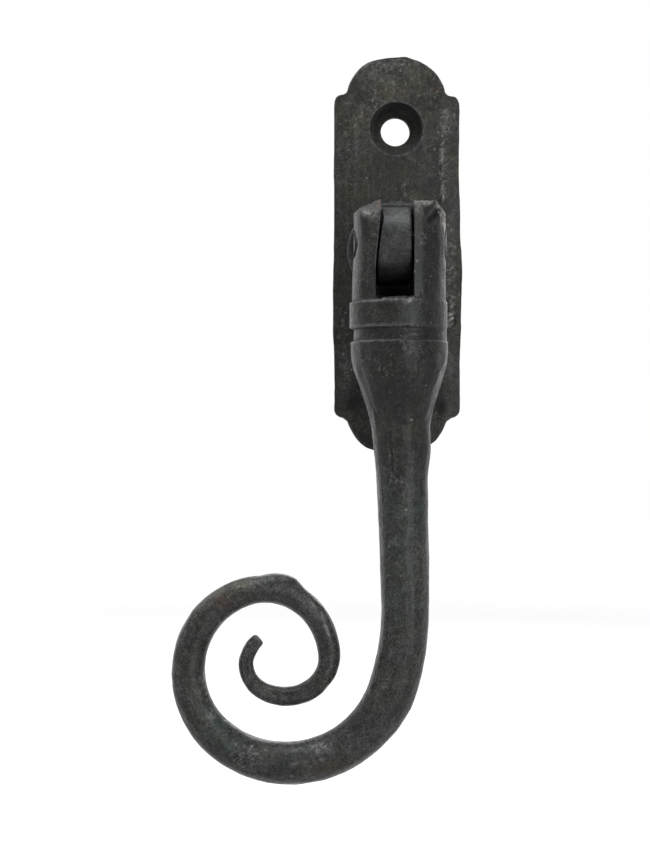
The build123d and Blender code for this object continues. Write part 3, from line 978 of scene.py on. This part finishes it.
# Raised ridges beside the flat middle, as the hammer left them, and small dents
for at_x, high in ((7.95, 0.12), (-7.3, 0.07)):
    ridge = near_line(plate.front_view(), (at_x, 24.5), (at_x, 8.5), 0.35) * is_front
    y -= high * ridge * (1 + 0.5 * noise(p, 0.8, seed=67))
for at_x, at_z, wide, tall, deep in (
    (9.9, -12, 0.45, 1, 0.28), (9.4, -11.2, 0.35, 0.5, 0.2), (10, -9.5, 0.3, 0.5, 0.14),
    (9.2, -5.2, 0.4, 1, 0.12), (-9.2, -12.6, 0.8, 0.25, 0.12), (-9.6, 4, 0.3, 0.6, 0.1),
    (4.3, 13.8, 0.4, 0.3, 0.12), (0.6, 14.6, 0.3, 0.3, 0.1), (-5.6, 25.6, 0.5, 0.4, 0.14),
    (6.3, 28, 0.6, 0.7, 0.14), (6, 24.6, 0.4, 0.4, 0.12), (-5.2, 27.6, 0.7, 0.5, 0.1),
):
    plate.dent((at_x, at_z), (wide, tall), deep)
# The photographed hole sits a hair lower and to the left, and is a hair smaller
from_hole = np.hypot(x, z - hole_height)
sink = ramp(from_hole, *sink_edge)
bore = ramp(from_hole, *bore_edge)
hole_scale = 1 + sink_growth * sink - bore_shrinkage * bore
x[:] = x * hole_scale + hole_right * (sink + bore)
z[:] = hole_height + (z - hole_height) * hole_scale + hole_up * sink + bore_up * bore
plate.write()

# The plate's wear and stains, painted shade in its hollows, dents and hole, painted shadows of the
# vase, a paler right ridge that is partly painted highlight, and its tones
view = plate.front_view()
wear, painted_shade = plate.edge_marks(5, 13.0)
rim_off = np.hypot(x - hole_right, z - hole_height - hole_up)
rim = np.exp(-(((rim_off - rim_radius) / rim_width) ** 2)) * (y < -3.5)
plate.lay("wear", wear)
# Wear along the ridges beside the flat middle, partly painted highlight on them
plate.lay("wear", 0.25 * near_line(view, (7.9, 21.6), (8.0, 9.8), 0.28))
plate.lay("wear", 0.25 * near_line(view, (-7.3, 22.0), (-7.3, 9.0), 0.3))
plate.lay("wear", 0.5 * rim)
plate.lay("wear", 0.5 * near(view, (9.8, -11.8), (0.6, 1.2)))
plate.marks["wear"] *= ~is_back
# Painted shade inside the hole, deeper towards its top
sunk = (rim_off < sunk_radius) & (z > 0) & (y < -0.2)
rings = noise(np.stack([rim_off, 0 * rim_off, 0.25 * x], axis=1), 0.32, seed=101)
hole_painted_shade = 0.40 + 0.44 * ramp(z + 0.3 * x, 17.5, 23.5) + 0.16 * rings
plate.lay("painted_shade", 0.7 * painted_shade)
plate.lay("painted_shade", sunk * hole_painted_shade)
# Painted shade in dents at the right edge and near the top, and painted shadows of the vase at (-8,
# -26.4) and (7.7, -27)
plate.mark("painted_shade", (
    (9.05, -10.5, 0.22, 0.3, 0.85), (9.5, -12.2, 0.25, 0.3, 0.8), (9, -14, 0.25, 0.5, 0.5),
    (-8, -26.4, 1.3, 1.3, 0.4), (7.7, -27, 0.8, 1.7, 0.45), (5.6, 25.1, 0.45, 0.4, 0.5),
))
plate.mark("rust", (
    (6.8, 28.5, 1, 0.8, 0.4), (-0.5, 27.9, 3, 1.4, 0.22), (-6.2, 23.4, 1, 1, 0.2),
))
plate.mark("green", ((-5.0, 28.0, 2.0, 1.6, 0.15),))
plate.mark("ochre", (
    (3.4, 9.3, 2.4, 0.6, 0.5), (-2, 28.2, 1.8, 1.4, 0.3), (2, 30.5, 3.5, 2, 0.2),
))
plate.mark("pale_and_highlight", (
    (-5.3, 30.6, 1.6, 1.8, 0.4), (0, 32.8, 4, 1.2, 0.3), (9.4, -6, 0.8, 1.6, 0.35),
    (9.7, -11.8, 0.5, 1.2, 0.5), (9.2, -20, 0.7, 4, 0.25), (9.3, -2, 0.5, 2.5, 0.5),
    (9.6, -9, 0.4, 1.5, 0.5), (8.2, 20, 0.6, 5, 0.3), (8.6, 23.4, 1.3, 1.8, 0.4),
    (2, 12.6, 0.2, 0.2, 0.6), (-3.9, 14.8, 0.2, 0.2, 0.5), (-3.2, 30.4, 0.9, 0.7, 0.5),
))
# Pale along the right ridge, partly painted highlight
plate.lay("pale_and_highlight", 0.7 * near_line(view, (7.9, 12.0), (8.1, 9.0), 0.22))
plate.mark("dust_and_highlight", (
    (-2, 29.5, 2.8, 1.8, 0.5), (-4.4, 25.8, 1.4, 1.4, 0.5), (6.8, 26.9, 1.4, 1.2, 0.6),
    (8.6, 22, 1.2, 3, 0.6), (8.2, 12, 0.8, 4, 0.6), (9.6, -10, 1.2, 4, 1), (9.4, -2, 1, 4, 0.8),
    (9.2, -18, 1, 4, 0.7), (-9.6, -12, 1, 3, 0.5), (-9.4, 12, 1, 3, 0.4), (2, 13, 3, 1.5, 0.3),
))
# Dust along the right ridge, partly painted highlight
plate.lay("dust_and_highlight", 1.4 * near_line(view, (7.95, 22.5), (8.0, 9.5), 0.6))
plate.mark("bare_and_highlight", (
    (9.5, -11, 0.3, 0.2, 2.4), (9.7, -11.6, 0.2, 0.2, 2), (9.6, -9.6, 0.13, 0.13, 0.7),
    (9.3, -13, 0.14, 0.2, 0.6), (6.55, 17.9, 0.12, 0.1, 0.7), (1.4, 9.8, 0.12, 0.12, 0.6),
    (-5.3, 12.9, 0.1, 0.1, 0.6), (7, 28, 0.16, 0.13, 0.5), (-8, -20.6, 0.14, 0.12, 0.7),
    (8.1, 9.6, 0.16, 0.3, 0.6),
))
# The first and fourth lines of specks run along the right ridge, partly as painted highlight
plate.sprinkle((
    (75, (7.9, 22), (8, 9.4), 0.16, 0.45), (70, (8.3, 24.8), (8.6, 20.5), 0.8, 0.35),
    (50, (9.2, 6), (9.6, -16), 0.7, 0.4), (40, (8.1, 19), (8.3, 8), 0.5, 0.35),
    (40, (-5, 32), (3, 33.2), 0.5, 0.3), (40, (-4.5, 29.5), (6, 28), 1.4, 0.35),
    (26, (9.3, 2), (9.6, -9), 0.45, 0.45), (16, (9.2, -12.5), (9.4, -10), 0.35, 0.7),
    (16, (-9.8, -10), (-9, -22), 0.5, 0.45), (24, (-4, 26), (-7.5, 22), 0.8, 0.35),
    (20, (0, 10.5), (4, 10), 0.8, 0.35),
))
tone_and_painted_light = 0.14 * noise(p, 6.0, seed=97) + 0.12 * noise(p, 2.6, seed=99)
tone_and_painted_light -= 0.1 * ramp(-x, 8.0, 9.5)
# The first two patches are painted shadows of the vase; the others are darker and lighter patches
for at_x, at_z, wide, tall, dark in (
    (-7.7, -26.6, 1.8, 1.6, 0.6), (7.7, -27.1, 1.1, 1.8, 0.7), (-4.4, 16.4, 2.4, 2.2, 0.2),
    (-1.5, 13.2, 4.5, 2.7, 0.3), (9.6, -8, 1.4, 9, 0.36), (-9.5, -16, 1.6, 7, -0.25),
    (6.8, 26.6, 1.3, 1.1, 0.35), (-6, 27.3, 1.3, 1.8, 0.32),
):
    tone_and_painted_light -= dark * near(view, (at_x, at_z), (wide, tall))
plate.marks["tone_and_painted_light"] = tone_and_painted_light
plate.finish((z, x, y), "plate", plate_iron)


# Swivel and hinge pin

swivel = Work("swivel", "forged_swivel", swivel_voxel, 2, swivel_front)
p = swivel.points
x, y, z = p.T
shown = above(-y, 5.2, 0.2) * (np.hypot(y + pin_reach, z) > 3.2)
inner = (np.hypot(x, z) < 5.6) & (-y < 6.9)
relief_map = 0.03 * layered(p, 3.0, seed=71) + 0.012 * noise(p, 0.9, seed=77) - 0.035
swivel.push(shown * ~inner * relief_map)
# The tongue draws in at its left, as far as the arm beside it leans in
drawn_in = np.clip((slot_middle - x) / (slot_middle - tongue_left), 0, 1)
x += drawn_in * above(-y, 7.3, 0.1) * (slot_limit(p) - tongue_left)
boss_top = (-y > 5.7) * (-y < 7.5) * (z > 6.8)
swivel.flat((0.0, -boss_front, 7.95), (0, -0.55, 0.83), boss_top)
swivel.write()
wear, painted_shade = swivel.edge_marks(5, 12.0)
swivel.marks["wear"] = 0.8 * wear
# Painted shade low in the slot, on the lower tongue and the boss behind it
deep = above(-z, 3.6, 0.35) * between(-y, 4.0, 19.6, 0.7) * (np.abs(x - slot_middle) < 3.6)
swivel.marks["painted_shade"] = np.maximum(0.7 * painted_shade, deep)
swivel.mark("dust_and_highlight", ((-1.0, 0.5, 2.4, 3.0, 0.25),))
# The first mark, on the tongue's top, is painted highlight; the second is a pale stain
swivel.mark("pale_and_highlight", ((0.3, 5.0, 1.8, 1.2, 0.35), (-1.2, 1.9, 0.5, 0.15, 0.5)))
# Painted highlight: the tongue is lighter above its top edge
swivel.marks["tone_and_painted_light"] = -0.04 + 0.24 * ramp(z, 2.5, 3.4)
swivel.finish((x, z, y), "turn", swivel_iron)

pin = Work("hinge_pin", "peened_hinge_pin", pin_voxel, 3)
p = pin.points
x, y, z = p.T
ends = above(np.abs(x - head_x), 7.2, 0.15)
pin.push(ends * (0.04 * layered(p, 1.4, seed=83) - np.where(x > 0, 0.1, 0.42)))
pin.write()
wear, painted_shade = pin.edge_marks(5, 14.0)
pin.marks["wear"] = 0.4 * wear
# Painted shade where the pin's surface is sunk
pin.marks["painted_shade"] = painted_shade
pin.marks["rust"] = 0.25 * near(p, (8.0, -15.0, 0.5), (2.0, 2.0, 1.5))
pin.finish((x, z, y), "lever", pin_iron)


# CAD pieces that stay as they are

for node, material in (
    ("spindle", spindle_steel),
    ("spindle_pin", pin_steel),
    ("circlip", spring_steel),
    ("spring_washer", spring_steel),
):
    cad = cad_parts[node]
    cad.data.materials.clear()
    cad.data.materials.append(material)


# Floor, world, lights and camera, in metres

floor_half_width = 30
floor_height = -0.136
floor_grey = (0.5, 0.5, 0.5)
glow_start = 0.40
glow_end = 1.0
glow_near = 0.58
glow_far = 0.775
world_light = 0.45
object_middle = (-0.01, -0.01, -0.03)
camera_place = (-0.0126, -0.320, -0.03186)
sensor_width = 36
focal_length_pixels = 1808
picture_height_pixels = 868


def pale_ray(tree):
    """1 for what the camera, a gloss or clear matter sees, and 0 for what lights a surface."""
    path = new_node(tree, "LightPath", {})
    rays = (path["Is Camera Ray"], path["Is Glossy Ray"], path["Is Transmission Ray"])
    return maths(tree, "MAXIMUM", *rays)


def softbox(name, location, size, power, colour=white):
    """A broad lamp that faces the middle of the object."""
    data = bpy.data.lights.new(name, "AREA")
    data.shape = "RECTANGLE"
    data.size, data.size_y = size
    data.energy = power
    data.color = colour
    lamp = add_object(name, data)
    lamp.location = location
    aim = Vector(object_middle) - Vector(location)
    lamp.rotation_euler = aim.to_track_quat("-Z", "Y").to_euler()
    lamp.visible_camera = False


floor_mesh = bpy.data.meshes.new("floor")
sheet = bmesh.new()
bmesh.ops.create_grid(sheet, x_segments=8, y_segments=8, size=floor_half_width)
sheet.to_mesh(floor_mesh)
sheet.free()
floor = add_object("floor", floor_mesh)
floor.location = (0, 0, floor_height)
floor_paint, tree, shader = new_material("floor_paint")
from_middle = new_node(tree, "VectorMath", {0: place(tree)}, operation="LENGTH")["Value"]
glow = spread(tree, from_middle, glow_start, glow_end, glow_near, glow_far)
glow = product(tree, pale_ray(tree), glow)
fill(tree, shader, {"Base Color": floor_grey, "Roughness": 1.0, "Specular IOR Level": 0.0})
fill(tree, shader, {"Emission Color": white, "Emission Strength": glow})
floor_mesh.materials.append(floor_paint)

world = bpy.data.worlds.new("studio")
bpy.context.scene.world = world
world.use_nodes = True
tree = world.node_tree
inputs = {0: pale_ray(tree), 1: 1 - world_light, 2: world_light}
strength = new_node(tree, "Math", inputs, operation="MULTIPLY_ADD")[0]
fill(tree, tree.nodes["Background"], {"Color": white, "Strength": strength})

softbox("key", (-0.08, -0.10, 0.44), (0.36, 0.28), 1.7, (0.92, 0.965, 1.0))
softbox("corner", (-0.36, 0.02, 0.33), (0.26, 0.26), 0.8)
softbox("fill", (0.26, -0.53, -0.03), (0.20, 0.44), 1.9)
softbox("left", (-0.36, 0.38, 0.05), (0.20, 0.50), 0.3)
softbox("right", (0.34, 0.42, 0.05), (0.20, 0.50), 0.15)
softbox("back", (0.10, 0.50, 0.25), (0.40, 0.40), 1.2)

camera_data = bpy.data.cameras.new("camera")
camera_data.sensor_width = sensor_width
camera_data.lens = sensor_width * focal_length_pixels / picture_height_pixels
camera_data.clip_start = 0.01
camera_data.clip_end = 100
camera = add_object("camera", camera_data)
camera.location = camera_place
camera.rotation_euler = (math.radians(90), 0, 0)
bpy.context.scene.camera = camera

bpy.context.scene.view_settings.view_transform = "Standard"
